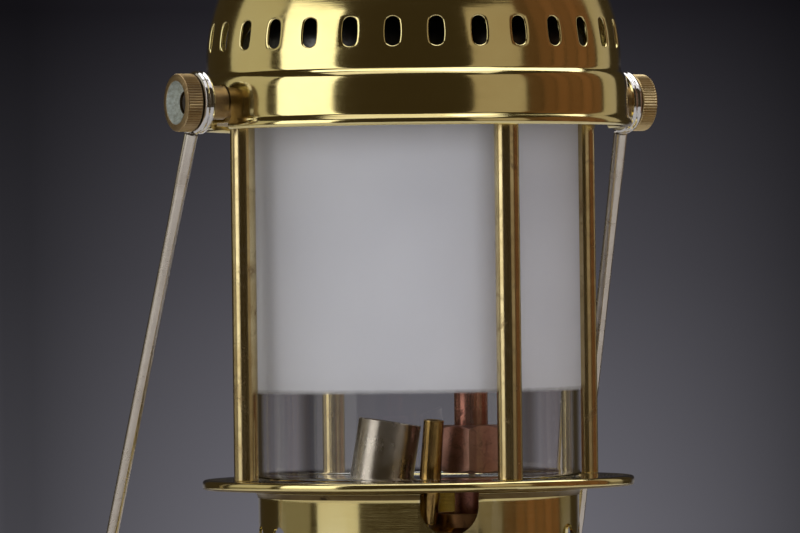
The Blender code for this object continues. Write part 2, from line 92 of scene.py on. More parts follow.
def pose(origin=(0, 0, 0), axis=UP, turn=0.0):
    """Matrix that puts local Z on an axis through an origin given in mm."""
    aim = Vector(axis).normalized().to_track_quat("Z", "Y").to_matrix().to_4x4()
    return Matrix.Translation(Vector(origin) * MM) @ aim @ Matrix.Rotation(
        math.radians(turn), 4, "Z")


PUMP_OUT = heading(40, math.cos(math.radians(15)), math.sin(math.radians(15)))
PUMP_MOUTH = heading(40, 86, 50)
FILLER_UP = heading(-35, math.sin(math.radians(30)), math.cos(math.radians(30)))
FILLER_FOOT = heading(-35, 68, 89.5)
FILLER_SIDE = heading(-125)


# ---------------------------------------------------------------- materials

class Tree:
    """Short hand for a node tree."""

    def __init__(self, owner):
        owner.use_nodes = True
        self.tree = owner.node_tree

    def add(self, kind, **values):
        """New node; values set its properties, or its inputs by name."""
        node = self.tree.nodes.new(kind)
        for key, value in values.items():
            if hasattr(node, key):
                setattr(node, key, value)
            else:
                node.inputs[key.replace("_", " ")].default_value = value
        return node

    def link(self, source, target):
        """Join two sockets."""
        self.tree.links.new(source, target)

    def ramp(self, source, low, high, start=0.0, end=1.0):
        """Map a value to a range, clamped."""
        node = self.add("ShaderNodeMapRange", From_Min=start, From_Max=end, To_Min=low,
                        To_Max=high)
        self.link(source, node.inputs["Value"])
        return node.outputs["Result"]

    def mix(self, factor, first, second):
        """Mix two colours, each a tuple or a socket."""
        node = self.add("ShaderNodeMix", data_type="RGBA")
        self.link(factor, node.inputs[0])
        for socket, value in ((node.inputs[6], first), (node.inputs[7], second)):
            if isinstance(value, tuple):
                socket.default_value = (*value, 1.0)
            else:
                self.link(value, socket)
        return node.outputs[2]

    def math(self, operation, first, second):
        """One Math node; each value is a number or a socket."""
        node = self.add("ShaderNodeMath", operation=operation)
        for socket, value in zip(node.inputs, (first, second)):
            if isinstance(value, (int, float)):
                socket.default_value = value
            else:
                self.link(value, socket)
        return node.outputs[0]


class Nodes(Tree):
    """Node tree of one material."""

    def __init__(self, name):
        self.material = bpy.data.materials.new(name)
        super().__init__(self.material)
        self.shader = self.tree.nodes["Principled BSDF"]
        self.output = self.tree.nodes["Material Output"]
        self.place = self.add("ShaderNodeTexCoord").outputs["Object"]

    def noise(self, scale, detail=4.0, roughness=0.55, stretch=(1, 1, 1), distortion=0.0):
        """Grey noise in metres; scale is features per metre, stretched along each axis."""
        node = self.add("ShaderNodeTexNoise", Scale=scale, Detail=detail, Roughness=roughness,
                        Distortion=distortion)
        stretched = self.add("ShaderNodeMapping", Scale=stretch)
        self.link(self.place, stretched.inputs["Vector"])
        self.link(stretched.outputs["Vector"], node.inputs["Vector"])
        return node.outputs["Fac"]

    def bump(self, height, strength, distance):
        """Bump onto the shader's normal; chains with any bump already there."""
        node = self.add("ShaderNodeBump", Strength=strength, Distance=distance)
        self.link(height, node.inputs["Height"])
        before = self.shader.inputs["Normal"]
        if before.is_linked:
            self.link(before.links[0].from_socket, node.inputs["Normal"])
        self.link(node.outputs["Normal"], before)

    def edges(self, low=0.505, high=0.56):
        """1 on worn convex edges, 0 on flats."""
        geometry = self.add("ShaderNodeNewGeometry")
        return self.ramp(geometry.outputs["Pointiness"], 0.0, 1.0, low, high)


def metal(name, base, shade, rough, grain=(60, 60, 2600), tarnish=None, tarnish_at=(0.58, 0.72),
          wobble=0.0, edge=None, pits=0.0, cloud=28.0):
    """Turned and polished metal with drifts of colour, grain, tarnish and worn edges."""
    n = Nodes(name)
    clouds = n.noise(cloud, 5, 0.6, (1, 1, 1.4), 0.3)
    colour = n.mix(n.ramp(clouds, 0, 1, 0.32, 0.68), base, shade)
    lines = n.noise(1.0, 3, 0.6, grain)
    low, high = rough
    roughness = n.ramp(n.math("ADD", n.math("MULTIPLY", clouds, 0.55),
                              n.math("MULTIPLY", lines, 0.45)), low, high, 0.3, 0.7)
    if tarnish:
        spots = n.ramp(n.noise(cloud * 2.6, 7, 0.65, (1, 1, 1), 0.8), 0, 1, *tarnish_at)
        colour = n.mix(spots, colour, tarnish)
        roughness = n.math("ADD", roughness, n.math("MULTIPLY", spots, 0.18))
    if edge:
        colour = n.mix(n.math("MULTIPLY", n.edges(), 0.75), colour, edge)
    n.link(colour, n.shader.inputs["Base Color"])
    n.link(roughness, n.shader.inputs["Roughness"])
    n.shader.inputs["Metallic"].default_value = 1.0
    if wobble:
        n.bump(n.noise(24, 1, 0.4, (1, 1, 0.8)), wobble, 0.004)
    n.bump(lines, 0.06, 0.0002)
    if pits:
        n.bump(n.noise(1400, 2, 0.5), pits, 0.0003)
    return n.material


def plain(name, base, shade, rough, scale=300.0, bump=0.2, depth=0.0002, edge=None, **extra):
    """Non-metal with mottled colour and a fine surface."""
    n = Nodes(name)
    field = n.noise(scale, 6, 0.6)
    colour = n.mix(n.ramp(field, 0, 1, 0.3, 0.7), base, shade)
    if edge:
        colour = n.mix(n.edges(), colour, edge)
    n.link(colour, n.shader.inputs["Base Color"])
    n.link(n.ramp(n.noise(scale * 0.4, 3), rough[0], rough[1], 0.3, 0.7),
           n.shader.inputs["Roughness"])
    n.bump(field, bump, depth)
    for key, value in extra.items():
        n.shader.inputs[key.replace("_", " ")].default_value = value
    return n.material


def weave(name, base, shade):
    """Knitted mantle cloth."""
    n = Nodes(name)
    threads = []
    for rotation in (0.0, math.radians(60)):
        turn = n.add("ShaderNodeMapping", Rotation=(0, rotation, 0))
        n.link(n.place, turn.inputs["Vector"])
        wave = n.add("ShaderNodeTexWave", bands_direction="Z", Scale=300, Distortion=3)
        n.link(turn.outputs["Vector"], wave.inputs["Vector"])
        threads.append(wave.outputs["Fac"])
    cloth = n.math("MULTIPLY", threads[0], threads[1])
    n.link(n.mix(cloth, shade, base), n.shader.inputs["Base Color"])
    n.shader.inputs["Roughness"].default_value = 0.95
    n.bump(cloth, 0.8, 0.0006)
    return n.material


def lamp_glass(name):
    """Clear glass with a satin-frosted upper part above FROST_LINE."""
    n = Nodes(name)
    split = n.add("ShaderNodeSeparateXYZ")
    n.link(n.place, split.inputs[0])
    ragged = n.math("MULTIPLY", n.noise(400, 3), 0.0005)
    level = n.math("ADD", split.outputs["Z"], ragged)
    satin = n.ramp(level, 0, 1, *FROST_LINE)
    clear = n.shader
    clear.inputs["Base Color"].default_value = (0.985, 0.985, 0.985, 1)
    clear.inputs["Transmission Weight"].default_value = 1.0
    clear.inputs["IOR"].default_value = 1.47
    smears = n.ramp(n.noise(130, 5, 0.6, (1, 1, 0.06)), 0.0, 0.05, 0.48, 0.8)
    n.link(smears, clear.inputs["Roughness"])
    frost = n.add("ShaderNodeBsdfPrincipled")
    tone = n.mix(n.ramp(n.noise(14, 3), 0, 1, 0.35, 0.65), (0.84, 0.845, 0.885),
                 (0.76, 0.765, 0.81))
    n.link(tone, frost.inputs["Base Color"])
    frost.inputs["Roughness"].default_value = 0.38
    frost.inputs["Specular IOR Level"].default_value = 0.35
    scatter = n.add("ShaderNodeBsdfTranslucent")
    scatter.inputs["Color"].default_value = (0.88, 0.885, 0.93, 1)
    both = n.add("ShaderNodeMixShader")
    both.inputs[0].default_value = 0.48
    n.link(frost.outputs[0], both.inputs[1])
    n.link(scatter.outputs[0], both.inputs[2])
    blend = n.add("ShaderNodeMixShader")
    n.link(satin, blend.inputs[0])
    n.link(clear.outputs[0], blend.inputs[1])
    n.link(both.outputs[0], blend.inputs[2])
    n.link(blend.outputs[0], n.output.inputs["Surface"])
    grain = n.add("ShaderNodeBump", Strength=0.15, Distance=0.0001)
    n.link(n.noise(2600, 2), grain.inputs["Height"])
    n.link(grain.outputs[0], frost.inputs["Normal"])
    return n.material


def clear_glass(name):
    """Small gauge window."""
    n = Nodes(name)
    n.shader.inputs["Base Color"].default_value = (0.97, 0.98, 0.98, 1)
    n.shader.inputs["Transmission Weight"].default_value = 1.0
    n.shader.inputs["IOR"].default_value = 1.48
    n.link(n.ramp(n.noise(180, 5), 0.0, 0.08, 0.45, 0.8), n.shader.inputs["Roughness"])
    return n.material


BRASS = metal("polished_brass", (0.86, 0.74, 0.35), (0.80, 0.66, 0.29), (0.06, 0.17),
              tarnish=(0.46, 0.33, 0.20), tarnish_at=(0.64, 0.80), wobble=0.10,
              edge=(0.95, 0.86, 0.52))
SATIN_BRASS = metal("aged_brass", (0.62, 0.47, 0.20), (0.48, 0.34, 0.13), (0.18, 0.38),
                    tarnish=(0.24, 0.15, 0.08), tarnish_at=(0.55, 0.75),
                    edge=(0.80, 0.66, 0.36))
ROD_BRASS = metal("rod_brass", (0.76, 0.64, 0.36), (0.56, 0.43, 0.21), (0.12, 0.26),
                  grain=(2600, 2600, 14), tarnish=(0.22, 0.14, 0.07), tarnish_at=(0.55, 0.78),
                  cloud=60)
SPOUT_BRASS = metal("spout_brass", (0.46, 0.29, 0.08), (0.26, 0.145, 0.045), (0.12, 0.24),
                    grain=(1600, 1600, 16), tarnish=(0.13, 0.06, 0.025), tarnish_at=(0.54, 0.74),
                    edge=(0.78, 0.62, 0.32), cloud=110)
BURNT_BRASS = metal("burnt_brass", (0.30, 0.15, 0.06), (0.17, 0.08, 0.035), (0.26, 0.44),
                    grain=(300, 300, 300), tarnish=(0.09, 0.045, 0.025), tarnish_at=(0.5, 0.7),
                    edge=(0.48, 0.28, 0.12), cloud=110)
# painted shade: darker brass for downward-facing faces that fall in shadow
PAINTED_SHADE_BRASS = metal("painted_shade_brass", (0.20, 0.145, 0.065), (0.12, 0.08, 0.035), (0.30, 0.48),
                     tarnish=(0.06, 0.04, 0.02), cloud=60)
DULL_NUT = metal("nut_brass_left", (0.40, 0.28, 0.14), (0.26, 0.17, 0.085), (0.30, 0.50),
                 tarnish=(0.14, 0.09, 0.05), edge=(0.54, 0.43, 0.25), cloud=160)
TAN_NUT = metal("nut_brass_right", (0.58, 0.44, 0.22), (0.46, 0.34, 0.16), (0.28, 0.45),
                tarnish=(0.28, 0.19, 0.10), edge=(0.76, 0.62, 0.38), cloud=160)
OXIDE = plain("nut_oxide", (0.40, 0.44, 0.40), (0.20, 0.21, 0.17), (0.4, 0.7), 900, 0.5, 0.0004)
# painted shade: near-black colour for the dark hole at each nut's centre, put on the pin's tip
PIN_TIP_PAINTED_SHADE = plain("pin_tip_painted_shade", (0.020, 0.014, 0.010), (0.035, 0.026, 0.018), (0.6, 0.8), 900, 0.4)
NICKEL = metal("worn_nickel", (0.70, 0.645, 0.60), (0.58, 0.52, 0.46), (0.18, 0.32),
               grain=(240, 240, 240), tarnish=(0.30, 0.23, 0.16), tarnish_at=(0.62, 0.78),
               edge=(0.74, 0.70, 0.64), pits=0.03, cloud=70)
FLAME_NICKEL = metal("flame_tube_nickel", (0.60, 0.55, 0.49), (0.48, 0.43, 0.37), (0.22, 0.34),
                     grain=(500, 500, 12), tarnish=(0.38, 0.31, 0.23), tarnish_at=(0.62, 0.82),
                     edge=(0.78, 0.74, 0.68), cloud=70)
CHROME = metal("bright_chrome", (0.80, 0.79, 0.80), (0.70, 0.69, 0.70), (0.05, 0.14),
               tarnish=(0.40, 0.36, 0.34), tarnish_at=(0.62, 0.76), cloud=220)
COPPER = metal("copper", (0.62, 0.285, 0.225), (0.38, 0.155, 0.120), (0.32, 0.48),
               grain=(300, 300, 300), tarnish=(0.13, 0.06, 0.05), tarnish_at=(0.52, 0.74),
               edge=(0.74, 0.50, 0.40), pits=0.15, cloud=130)
COPPER_TUBE = metal("copper_tube", (0.56, 0.25, 0.19), (0.30, 0.125, 0.095), (0.20, 0.34),
                    grain=(2200, 2200, 20), tarnish=(0.12, 0.055, 0.045),
                    tarnish_at=(0.55, 0.75), cloud=120)
# dark base colour: partly heat-blackened sheet steel, partly painted shade for the shadowed inner
# casing seen through the vents
BLACKENED_STEEL_AND_PAINTED_SHADE = metal("sheet_steel", (0.17, 0.17, 0.17), (0.10, 0.10, 0.10), (0.24, 0.46),
              tarnish=(0.06, 0.05, 0.045), tarnish_at=(0.45, 0.65))
GLASS = lamp_glass("lamp_glass")
LENS_GLASS = clear_glass("gauge_glass")
CLAY = plain("fired_clay", (0.80, 0.77, 0.70), (0.70, 0.66, 0.58), (0.7, 0.9), 420, 0.4, 0.0004)
CLOTH = weave("mantle_cloth", (0.92, 0.91, 0.88), (0.62, 0.60, 0.56))
LEATHER = plain("pump_leather", (0.30, 0.18, 0.10), (0.18, 0.10, 0.05), (0.5, 0.8), 700, 0.5)
RUBBER = plain("seal_rubber", (0.05, 0.05, 0.05), (0.08, 0.08, 0.08), (0.6, 0.8), 500, 0.2)
DIAL = plain("dial_enamel", (0.90, 0.89, 0.84), (0.84, 0.82, 0.74), (0.25, 0.45), 160, 0.05,
             Coat_Weight=0.4)
BLACK = plain("black_enamel", (0.018, 0.018, 0.018), (0.03, 0.028, 0.026), (0.2, 0.4), 140, 0.1,
              edge=(0.16, 0.13, 0.09), Coat_Weight=0.5)
RED = plain("dial_red", (0.55, 0.05, 0.03), (0.48, 0.04, 0.03), (0.3, 0.5), 160, 0.05)

SLOT_LOOK = {
    "polished_brass": BRASS, "aged_brass": SATIN_BRASS, "worn_nickel": NICKEL,
    "bright_chrome": CHROME, "copper": COPPER, "sheet_steel": BLACKENED_STEEL_AND_PAINTED_SHADE, "lamp_glass": GLASS,
    "gauge_glass": LENS_GLASS, "fired_clay": CLAY, "mantle_cloth": CLOTH,
    "pump_leather": LEATHER, "seal_rubber": RUBBER, "dial_enamel": DIAL,
    "black_enamel": BLACK}
NODE_SLOT = {row["node"]: row["material_slot"] for row in frame["record"]["subparts"]}
NODE_BODY = {node: body for body, nodes in frame["record"]["behaviour"]["bodies"].items()
             for node in nodes}


# ---------------------------------------------------------------- mesh tools

def rounded(profile, radius, cuts=3, least=25.0):
    """Round the sharp corners of a (radius, height) profile."""
    ring = profile[0][0] > 0
    count = len(profile)
    result = []
    for i, point in enumerate(profile):
        if not ring and i in (0, count - 1):
            result.append(tuple(point))
            continue
        here = Vector(point)
        before = Vector(profile[i - 1]) - here
        after = Vector(profile[(i + 1) % count]) - here
        turn = math.degrees(math.pi - before.angle(after))
        if turn < least:
            result.append(tuple(point))
            continue
        half = math.radians(180 - turn) / 2
        reach = min(radius / math.tan(half), before.length * 0.45, after.length * 0.45)
        start = here + before.normalized() * reach
        end = here + after.normalized() * reach
        bevel = [start * (1 - k / cuts) ** 2 + here * 2 * (k / cuts) * (1 - k / cuts)
                 + end * (k / cuts) ** 2 for k in range(cuts + 1)]
        # long walls get a second row close to the bevel, so that they shade flat
        if before.length > 6 * reach:
            bevel.insert(0, here + before.normalized() * reach * 2)
        if after.length > 6 * reach:
            bevel.append(here + after.normalized() * reach * 2)
        result.extend((point.x, point.y) for point in bevel)
    return result


def revolve(profile, steps, wave=None):
    """Mesh of a profile turned about Z; wave(angle, r, z) gives a new radius."""
    build = bmesh.new()
    ring = profile[0][0] > 0
    rows = []
    for r, z in profile:
        if r <= 1e-9:
            rows.append([build.verts.new((0, 0, z * MM))] * steps)
            continue
        row = []
        for j in range(steps):
            angle = 2 * math.pi * j / steps
            reach = (wave(angle, r, z) if wave else r) * MM
            row.append(build.verts.new(
                (reach * math.cos(angle), reach * math.sin(angle), z * MM)))
        rows.append(row)
    spans = len(rows) if ring else len(rows) - 1
    for i in range(spans):
        upper, lower = rows[i], rows[(i + 1) % len(rows)]
        for j in range(steps):
            k = (j + 1) % steps
            corners = [upper[j], lower[j], lower[k], upper[k]]
            build.faces.new(list(dict.fromkeys(corners)))
    return build


def finish_mesh(name, build, smooth=38.0):
    """Turn a bmesh into a smooth-shaded mesh with sharp creases kept."""
    mesh = bpy.data.meshes.new(name)
    build.to_mesh(mesh)
    build.free()
    mesh.shade_smooth()
    mesh.set_sharp_from_angle(angle=math.radians(smooth))
    return mesh


def piece(name, mesh, look, body, nodes=(), matrix=None):
    """Show a mesh on a body, in place of CAD nodes."""
    obj = bpy.data.objects.new(name, mesh)
    bpy.context.scene.collection.objects.link(obj)
    if not mesh.materials:
        mesh.materials.append(look)
    if matrix is not None:
        mesh.transform(matrix)
    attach(obj, body)
    if nodes:
        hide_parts(*nodes)
    return obj


def turned(node, profile, steps=96, origin=(0, 0, 0), axis=UP, turn=0.0, radius=0.25,
           look=None, wave=None, cuts=3, smooth=38.0):
    """High-detail turned piece in place of one CAD node."""
    build = revolve(rounded(profile, radius, cuts), steps, wave)
    slot = NODE_SLOT[node]
    return piece(node + "_fine", finish_mesh(node + "_fine", build, smooth),
                 look or SLOT_LOOK[slot], NODE_BODY[node], [node],
                 pose(origin, axis, turn))


def bar(node, radius, low, high, steps=32, soft=0.25, **place):
    """Round bar with softened ends in place of one CAD node."""
    return turned(node, [(0, high), (radius, high), (radius, low), (0, low)], steps,
                  radius=soft, **place)


def tool(build, matrix=None):
    """Hidden cutter object from a bmesh."""
    mesh = bpy.data.meshes.new("cutter")
    bmesh.ops.recalc_face_normals(build, faces=build.faces)
    build.to_mesh(mesh)
    build.free()
    if matrix is not None:
        mesh.transform(matrix)
    obj = bpy.data.objects.new("cutter", mesh)
    bpy.context.scene.collection.objects.link(obj)
    return obj


def carve(obj, cutter, operation="DIFFERENCE", smooth=38.0):
    """Apply one exact Boolean and drop the cutter."""
    step = obj.modifiers.new("cut", "BOOLEAN")
    step.operation = operation
    step.solver = "EXACT"
    step.object = cutter
    bpy.context.view_layer.update()
    graph = bpy.context.evaluated_depsgraph_get()
    result = bpy.data.meshes.new_from_object(obj.evaluated_get(graph))
    result.name = obj.data.name
    obj.modifiers.remove(step)
    obj.data = result
    result.shade_smooth()
    result.set_sharp_from_angle(angle=math.radians(smooth))
    bpy.data.objects.remove(cutter, do_unlink=True)
    return obj


def obround(width, height, near, far, origin, direction, segments=24):
    """Bar with an obround section along a direction, long way up."""
    build = bmesh.new()
    aim = Vector(direction).normalized()
    side = aim.cross(UP).normalized()
    basis = Matrix((side, aim.cross(side), aim)).transposed().to_4x4()
    loop = []
    for i in range(segments):
        angle = 2 * math.pi * (i + 0.5) / segments
        lift = math.copysign((height - width) / 2, math.sin(angle))
        loop.append((width / 2 * math.cos(angle), width / 2 * math.sin(angle) + lift))
    low = [build.verts.new((x * MM, y * MM, near * MM)) for x, y in loop]
    high = [build.verts.new((x * MM, y * MM, far * MM)) for x, y in loop]
    for i in range(segments):
        k = (i + 1) % segments
        build.faces.new((low[i], low[k], high[k], high[i]))
    build.faces.new(low[::-1])
    build.faces.new(high)
    return tool(build, Matrix.Translation(Vector(origin) * MM) @ basis)


def rod_tool(radius, low, high, origin, axis, steps=32):
    """Round cutter."""
    return tool(revolve([(0, high), (radius, high), (radius, low), (0, low)], steps),
                pose(origin, axis))


def knurl(ridges, depth, low, high, least):
    """Wave that cuts straight knurls between two heights, above a radius."""
    def shape(angle, r, z):
        if not low <= z <= high or r < least:
            return r
        phase = (angle * ridges / (2 * math.pi)) % 1.0
        return r - depth * (1 - abs(2 * phase - 1))
    return shape


def tube_along(points, radius, steps=24, section=None):
    """Closed tube through points in mm; section(i, angle) may give its radius."""
    build = bmesh.new()
    spots = [Vector(p) for p in points]
    rows = []
    side = None
    for i, spot in enumerate(spots):
        ahead = spots[min(i + 1, len(spots) - 1)] - spots[max(i - 1, 0)]
        ahead.normalize()
        if side is None:
            side = ahead.orthogonal().normalized()
        side = (side - ahead * side.dot(ahead)).normalized()
        other = ahead.cross(side)
        row = []
        for j in range(steps):
            angle = 2 * math.pi * j / steps
            reach = section(i, angle) if section else radius
            place = spot + side * reach * math.cos(angle) + other * reach * math.sin(angle)
            row.append(build.verts.new(place * MM))
        rows.append(row)
    for i in range(len(rows) - 1):
        for j in range(steps):
            k = (j + 1) % steps
            build.faces.new((rows[i][j], rows[i][k], rows[i + 1][k], rows[i + 1][j]))
    build.faces.new(rows[0][::-1])
    build.faces.new(rows[-1])
    return build


# ---------------------------------------------------------------- the hood

def dome(phi, inset=0.0):
    """Point (radius, height) of the dome at an elevation angle."""
    arc = DOME_ARC - inset
    return DOME_R + arc * math.cos(phi), DOME_Z + arc * math.sin(phi)


def hood_mesh():
    """Hood with vents drawn slightly inwards and rounded lips, wall and all."""
    per = 8
    steps = VENTS * per
    half_u = math.pi * VENT_R / VENTS
    middle = math.asin((VENT_Z - DOME_Z) / DOME_ARC)
    half_v = 7.4
    phi_low = middle - half_v / DOME_ARC
    phi_high = middle + half_v / DOME_ARC
    first = math.radians(VENT_FIRST - 90) - math.pi / VENTS
    build = bmesh.new()

    def corner(theta, phi, depth):
        r, z = dome(phi, depth)
        return build.verts.new((r * MM * math.cos(theta), r * MM * math.sin(theta), z * MM))

    def on_rim(r, z):
        row = []
        for j in range(steps):
            theta = first + 2 * math.pi * j / steps
            row.append(build.verts.new((r * MM * math.cos(theta), r * MM * math.sin(theta),
                                        z * MM)))
        return row

    def skin(upper, lower, flip=False):
        for j in range(steps):
            k = (j + 1) % steps
            face = [upper[j], lower[j], lower[k], upper[k]]
            build.faces.new(face[::-1] if flip else face)

    # The rectangle round one vent, and the vent's own outline, point for point.
    frame_uv = []
    for i in range(per):
        frame_uv.append((-half_u + 2 * half_u * i / per, half_v))
    for i in range(per):
        frame_uv.append((half_u, half_v - 2 * half_v * i / per))
    for i in range(per):
        frame_uv.append((half_u - 2 * half_u * i / per, -half_v))
    for i in range(per):
        frame_uv.append((-half_u, -half_v + 2 * half_v * i / per))
    width, straight = 2.4, 2.05
    vent_uv = []
    for u, v in frame_uv:
        squeeze = math.atan2(v / half_v, u / half_u)
        x, y = math.cos(squeeze), math.sin(squeeze)
        vent_uv.append((width * x, width * y + (straight * max(-1, min(1, y * 2.2)))))

    def ring(sector, grow, depth, dip):
        """Ring of points round a vent; grow 0 is its edge, 1 the rectangle."""
        centre = first + (2 * sector + 1) * math.pi / VENTS
        row = []
        for (fu, fv), (vu, vv) in zip(frame_uv, vent_uv):
            u = vu + (fu - vu) * grow
            v = vv + (fv - vv) * grow
            row.append(corner(centre + u / VENT_R, middle + v / DOME_ARC, depth + dip))
        return row

    rings = ((0.62, 0.0), (0.28, 0.0), (0.13, 0.02), (0.07, 0.08), (0.03, 0.18), (0.008, 0.30),
             (0.0, 0.45))
    inner_rings = ((0.0, -0.12), (0.02, -0.05), (0.06, 0.0), (0.20, 0.0), (0.55, 0.0))
    count = len(frame_uv)
    grid = {}

    def outline(sector, depth):
        """The rectangle's own points, shared with neighbours."""
        row = []
        for i in range(count):
            side, place = divmod(i, per)
            across, down = ((place, 0), (per, place), (per - place, per),
                            (0, per - place))[side]
            key = ((sector * per + across) % steps, down, depth)
            if key not in grid:
                theta = first + 2 * math.pi * key[0] / steps
                phi = phi_high - (phi_high - phi_low) * down / per
                grid[key] = corner(theta, phi, depth)
            row.append(grid[key])
        return row

    def join(outer, inner, flip=False):
        for i in range(count):
            k = (i + 1) % count
            face = [outer[i], inner[i], inner[k], outer[k]]
            build.faces.new(face if flip else face[::-1])

    for sector in range(VENTS):
        previous = outline(sector, 0.0)
        for grow, dip in rings:
            current = ring(sector, grow, 0.0, dip)
            join(previous, current, True)
            previous = current
        for grow, dip in inner_rings:
            current = ring(sector, grow, SHEET, dip)
            join(previous, current, True)
            previous = current
        join(previous, outline(sector, SHEET), True)

    def grid_row(level, depth):
        return [grid[(j, level, depth)] for j in range(steps)]

    # Above the vents, outer skin, over the neck and back down inside.
    phi_top = math.asin((322.5 - DOME_Z) / DOME_ARC)
    upper = []
    for i in range(1, 15):
        phi = phi_high + (phi_top - phi_high) * i / 14
        upper.append(dome(phi))
    upper += [(39.6, 324.2), (38.9, 324.9), (38.5, 326), (38.5, 331.7), (38.1, 332),
              (37.7, 331.7), (37.7, 326), (38.0, 324.4), (38.9, 323.6)]
    for i in range(15):
        phi = phi_top + (phi_high - phi_top) * i / 15
        upper.append(dome(phi, SHEET))
    previous = grid_row(0, 0.0)
    for r, z in upper:
        current = on_rim(r, z)
        skin(current, previous)
        previous = current
    skin(grid_row(0, SHEET), previous)

    # Below the vents: ledge, band, bead, and back up inside.
    lower = []
    for i in range(1, 5):
        phi = phi_low + (math.asin(-1.2 / DOME_ARC) - phi_low) * i / 5
        lower.append(dome(phi))
    lower += [(63.35, 275.2), (63.4, 274.7), (63.52, 274.3), (63.7, 274.05), (64.05, 273.75),
              (64.4, 273.3), (64.7, 272.75), (64.93, 272.1), (65.09, 271.4), (65.2, 270.6),
              (65.28, 269.7), (65.34, 268.6), (65.38, 267.3), (65.4, 265.8), (65.4, 262.4),
              (65.42, 261.3), (65.55, 260.7), (65.85, 260.2), (66.2, 259.75), (66.45, 259.25),
              (66.58, 258.75), (66.6, 258.35), (66.52, 257.95), (66.3, 257.6), (65.95, 257.4),
              (65.6, 257.35), (65.25, 257.5), (64.95, 257.85), (64.7, 258.5), (64.6, 259.3),
              (64.6, 269.8), (64.4, 270.6), (63.9, 271.05), (63.2, 271.35), (62.75, 272.0),
              (62.6, 272.9), (62.6, 274.9)]
    previous = grid_row(per, 0.0)
    for r, z in lower:
        current = on_rim(r, z)
        skin(previous, current)
        previous = current
    inner = grid_row(per, SHEET)
    skin(previous, inner)
    return build


def make_hood():
    """Hood with its notches, chimney with slots, and rain cap."""
    mesh = finish_mesh("hood_shell_fine", hood_mesh(), 42)
    hood = piece("hood_shell_fine", mesh, BRASS, "hood", ["hood_shell"])
    for side in (-1, 1):
        carve(hood, obround(11.2, 21, 58, 72, (0, 0, PIVOT_Z - 4.9), (side, 0, 0), 32), smooth=42)
    tube = [
        (39.8, 376), (39.8, 330), (40.3, 329.4), (41.2, 328.8), (41.4, 327.8), (41.2, 326.8),
        (40.3, 326.2), (39.8, 325.4), (39, 325.3), (39, 376)]
    chimney = turned("hood_chimney", tube, 192, radius=0.3)
    for i in range(16):
        carve(chimney, obround(6, 14, 34, 46, (0, 0, 346), heading(22.5 * i)))
    cap = [
        (0, 392), (7, 391.8), (14, 391), (21, 389.4), (27, 387.2), (33, 384.3), (38, 380.8),
        (42, 376.8), (45, 372.3), (47, 368.3), (48.2, 365.8), (49.2, 364.6), (49.6, 363.2),
        (49.3, 361.8), (48.4, 361.1), (47.3, 361.3), (46.8, 362.3), (47.2, 364.8),
        (46.1, 368), (44.2, 371.8), (41.3, 376.1), (37.5, 379.9), (32.6, 383.4),
        (26.6, 386.3), (20.8, 388.6), (13.8, 390.1), (6.9, 391), (0, 391.1)]
    turned("hood_cap", cap, 192, radius=0.1)


# ---------------------------------------------------------------- frame and glass

def paint_shade_on_undersides(obj, lean):
    """Painted shade: darker brass on the outer faces that look down."""
    obj.data.materials.append(PAINTED_SHADE_BRASS)
    for face in obj.data.polygons:
        if face.normal.z < -lean:
            face.material_index = 1


def make_frame():
    """Collar, flange, guard rods, top ring, pins and glass."""
    wall = [
        (50.2, 147.1), (49.7, 146.8), (49.3, 146.2), (49.08, 145.4), (49, 144.4),
        (49, 96.9), (48.2, 96.9), (48.2, 147.7), (49.6, 147.7)]
    collar = turned("gallery_collar", wall, 240, radius=0.1)
    # painted shade on the collar's downward faces
    paint_shade_on_undersides(collar, 0.15)
    for i in range(13):
        carve(collar, obround(9, 14, 44, 54, (0, 0, 130), heading(39 + 19.4 * i)))
    carve(collar, obround(18, 21.6, 40, 56, (0, 0, 145.4), heading(-17), 40))
    carve(collar, rod_tool(8.2, 44, 54, (0, 0, SPINDLE_Z), FRONT))
    carve(collar, rod_tool(5.4, 38, 54, (0, PREHEATER.y, 112), (-1, 0, 0)))
    plate = [(66, 151), (66, 148), (46.5, 148), (46.5, 151)]
    # painted shade on the flange plate's underside
    paint_shade_on_undersides(turned("flange_plate", plate, 256, radius=1.5, cuts=7), 0.45)
    for name, angle in (("front", 0), ("right", 90), ("back", 180), ("left", -90)):
        bar("guard_rod_" + name, 3.75, 151.1, 259.15, 48, origin=heading(angle, 58.7),
            look=ROD_BRASS)
    ring = [
        (63, 270.7), (63, 259.3), (54.5, 259.3), (54.5, 260.3), (62.2, 260.3), (62.2, 270.7)]
    turned("top_ring", ring, 192, radius=0.3)
    pin = [
        (0, 77.4), (3, 77.4), (3, 75.4), (4.5, 75.4), (4.5, 71.6), (5.1, 71.6), (5.1, 65.2),
        (4.5, 65.2), (4.5, 63.3), (0, 63.3)]
    for name, side in (("left", -1), ("right", 1)):
        stub = turned("pivot_pin_" + name, pin, 48, (0, 0, PIVOT_Z), (side, 0, 0),
                      look=DULL_NUT)
        # painted shade on the pin's tip at the bottom of the nut's hole
        stub.data.materials.append(PIN_TIP_PAINTED_SHADE)
        for face in stub.data.polygons:
            if abs(face.center.x) / MM > 77.2:
                face.material_index = 1
    glass = [(50, 273), (50, 151.3), (47.8, 151.3), (47.8, 273)]
    turned("glass_globe", glass, 192, radius=0.9, cuts=5)


# ---------------------------------------------------------------- the bail

def bail_point(across, along):
    """Point of the bail, given sideways and down from the pivots at rest."""
    lean = math.radians(BAIL_REST)
    return Vector((across, along * math.sin(lean), PIVOT_Z - along * math.cos(lean)))


